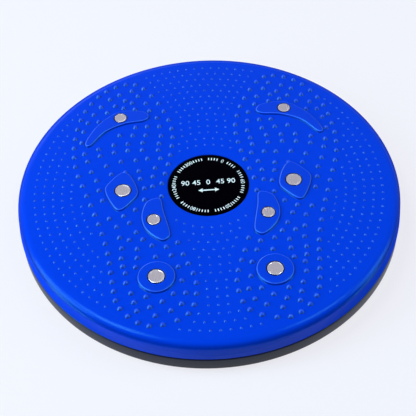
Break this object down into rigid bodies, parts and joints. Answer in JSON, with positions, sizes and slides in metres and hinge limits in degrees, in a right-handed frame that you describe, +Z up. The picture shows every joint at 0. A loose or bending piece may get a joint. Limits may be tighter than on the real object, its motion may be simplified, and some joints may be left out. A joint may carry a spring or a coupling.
{
  "type": "waist twisting disc",
  "caption": "Round twist board: a foot plate with massage nubs and magnet pads turns on a ball race over a ribbed base.",
  "frame": {"origin": "on the floor, under the middle of the disc, on the pivot's axis", "axes": "+Z up along the pivot; +Y towards the toes of the two foot outlines; +X to the right foot"},
  "size_m": [0.25, 0.25, 0.0253],
  "materials": {
    "blue_plastic": "glossy injection-moulded ABS",
    "dark_plastic": "satin injection-moulded ABS",
    "label_black": "glossy printed disc",
    "white_nylon": "plain nylon",
    "cage_nylon": "plain nylon",
    "magnet_plating": "nickel plating, satin",
    "zinc_steel": "zinc-plated steel",
    "ball_steel": "polished bearing steel",
    "foot_rubber": "black rubber"
  },
  "bodies": {
    "base": {"base_plate": "dark_plastic", "pivot_bolt": "zinc_steel", "pivot_washer": "zinc_steel", "pivot_nut": "zinc_steel", "foot_1": "foot_rubber", "foot_2": "foot_rubber", "foot_3": "foot_rubber", "foot_4": "foot_rubber", "foot_5": "foot_rubber", "foot_6": "foot_rubber"},
    "plate": {"top_plate": "blue_plastic", "label_disc": "label_black", "magnet_1_right": "magnet_plating", "magnet_2_right": "magnet_plating", "magnet_3_right": "magnet_plating", "magnet_4_right": "magnet_plating", "magnet_1_left": "magnet_plating", "magnet_2_left": "magnet_plating", "magnet_3_left": "magnet_plating", "magnet_4_left": "magnet_plating", "pivot_bush": "white_nylon"},
    "cage": {"ball_cage": "cage_nylon"},
    "roller_01": {"ball_01": "ball_steel"},
    "roller_02": {"ball_02": "ball_steel"},
    "roller_03": {"ball_03": "ball_steel"},
    "roller_04": {"ball_04": "ball_steel"},
    "roller_05": {"ball_05": "ball_steel"},
    "roller_06": {"ball_06": "ball_steel"},
    "roller_07": {"ball_07": "ball_steel"},
    "roller_08": {"ball_08": "ball_steel"},
    "roller_09": {"ball_09": "ball_steel"},
    "roller_10": {"ball_10": "ball_steel"},
    "roller_11": {"ball_11": "ball_steel"},
    "roller_12": {"ball_12": "ball_steel"},
    "roller_13": {"ball_13": "ball_steel"},
    "roller_14": {"ball_14": "ball_steel"},
    "roller_15": {"ball_15": "ball_steel"},
    "roller_16": {"ball_16": "ball_steel"},
    "roller_17": {"ball_17": "ball_steel"},
    "roller_18": {"ball_18": "ball_steel"}
  },
  "joints": [
    {"name": "twist", "type": "hinge", "parent": "base", "child": "plate", "pos_m": [0, 0, 0.018], "axis": [0, 0, 1], "continuous": true},
    {"name": "cage_orbit", "type": "hinge", "parent": "base", "child": "cage", "pos_m": [0, 0, 0.0149], "axis": [0, 0, 1], "continuous": true},
    {"name": "ball_spin_01", "type": "hinge", "parent": "cage", "child": "roller_01", "pos_m": [0.08, 0, 0.0149], "axis": [1, 0, 0], "continuous": true},
    {"name": "ball_spin_02", "type": "hinge", "parent": "cage", "child": "roller_02", "pos_m": [0.07518, 0.02736, 0.0149], "axis": [0.9397, 0.342, 0], "continuous": true},
    {"name": "ball_spin_03", "type": "hinge", "parent": "cage", "child": "roller_03", "pos_m": [0.06128, 0.05142, 0.0149], "axis": [0.766, 0.6428, 0], "continuous": true},
    {"name": "ball_spin_04", "type": "hinge", "parent": "cage", "child": "roller_04", "pos_m": [0.04, 0.06928, 0.0149], "axis": [0.5, 0.866, 0], "continuous": true},
    {"name": "ball_spin_05", "type": "hinge", "parent": "cage", "child": "roller_05", "pos_m": [0.01389, 0.07878, 0.0149], "axis": [0.1736, 0.9848, 0], "continuous": true},
    {"name": "ball_spin_06", "type": "hinge", "parent": "cage", "child": "roller_06", "pos_m": [-0.01389, 0.07878, 0.0149], "axis": [-0.1736, 0.9848, 0], "continuous": true},
    {"name": "ball_spin_07", "type": "hinge", "parent": "cage", "child": "roller_07", "pos_m": [-0.04, 0.06928, 0.0149], "axis": [-0.5, 0.866, 0], "continuous": true},
    {"name": "ball_spin_08", "type": "hinge", "parent": "cage", "child": "roller_08", "pos_m": [-0.06128, 0.05142, 0.0149], "axis": [-0.766, 0.6428, 0], "continuous": true},
    {"name": "ball_spin_09", "type": "hinge", "parent": "cage", "child": "roller_09", "pos_m": [-0.07518, 0.02736, 0.0149], "axis": [-0.9397, 0.342, 0], "continuous": true},
    {"name": "ball_spin_10", "type": "hinge", "parent": "cage", "child": "roller_10", "pos_m": [-0.08, 0, 0.0149], "axis": [-1, 0, 0], "continuous": true},
    {"name": "ball_spin_11", "type": "hinge", "parent": "cage", "child": "roller_11", "pos_m": [-0.07518, -0.02736, 0.0149], "axis": [-0.9397, -0.342, 0], "continuous": true},
    {"name": "ball_spin_12", "type": "hinge", "parent": "cage", "child": "roller_12", "pos_m": [-0.06128, -0.05142, 0.0149], "axis": [-0.766, -0.6428, 0], "continuous": true},
    {"name": "ball_spin_13", "type": "hinge", "parent": "cage", "child": "roller_13", "pos_m": [-0.04, -0.06928, 0.0149], "axis": [-0.5, -0.866, 0], "continuous": true},
    {"name": "ball_spin_14", "type": "hinge", "parent": "cage", "child": "roller_14", "pos_m": [-0.01389, -0.07878, 0.0149], "axis": [-0.1736, -0.9848, 0], "continuous": true},
    {"name": "ball_spin_15", "type": "hinge", "parent": "cage", "child": "roller_15", "pos_m": [0.01389, -0.07878, 0.0149], "axis": [0.1736, -0.9848, 0], "continuous": true},
    {"name": "ball_spin_16", "type": "hinge", "parent": "cage", "child": "roller_16", "pos_m": [0.04, -0.06928, 0.0149], "axis": [0.5, -0.866, 0], "continuous": true},
    {"name": "ball_spin_17", "type": "hinge", "parent": "cage", "child": "roller_17", "pos_m": [0.06128, -0.05142, 0.0149], "axis": [0.766, -0.6428, 0], "continuous": true},
    {"name": "ball_spin_18", "type": "hinge", "parent": "cage", "child": "roller_18", "pos_m": [0.07518, -0.02736, 0.0149], "axis": [0.9397, -0.342, 0], "continuous": true}
  ],
  "couplings": [
    {"joint": "cage_orbit", "follows": "twist", "ratio": 0.5},
    {"joint": "ball_spin_01", "follows": "twist", "ratio": -13.333},
    {"joint": "ball_spin_02", "follows": "twist", "ratio": -13.333},
    {"joint": "ball_spin_03", "follows": "twist", "ratio": -13.333},
    {"joint": "ball_spin_04", "follows": "twist", "ratio": -13.333},
    {"joint": "ball_spin_05", "follows": "twist", "ratio": -13.333},
    {"joint": "ball_spin_06", "follows": "twist", "ratio": -13.333},
    {"joint": "ball_spin_07", "follows": "twist", "ratio": -13.333},
    {"joint": "ball_spin_08", "follows": "twist", "ratio": -13.333},
    {"joint": "ball_spin_09", "follows": "twist", "ratio": -13.333},
    {"joint": "ball_spin_10", "follows": "twist", "ratio": -13.333},
    {"joint": "ball_spin_11", "follows": "twist", "ratio": -13.333},
    {"joint": "ball_spin_12", "follows": "twist", "ratio": -13.333},
    {"joint": "ball_spin_13", "follows": "twist", "ratio": -13.333},
    {"joint": "ball_spin_14", "follows": "twist", "ratio": -13.333},
    {"joint": "ball_spin_15", "follows": "twist", "ratio": -13.333},
    {"joint": "ball_spin_16", "follows": "twist", "ratio": -13.333},
    {"joint": "ball_spin_17", "follows": "twist", "ratio": -13.333},
    {"joint": "ball_spin_18", "follows": "twist", "ratio": -13.333}
  ]
}
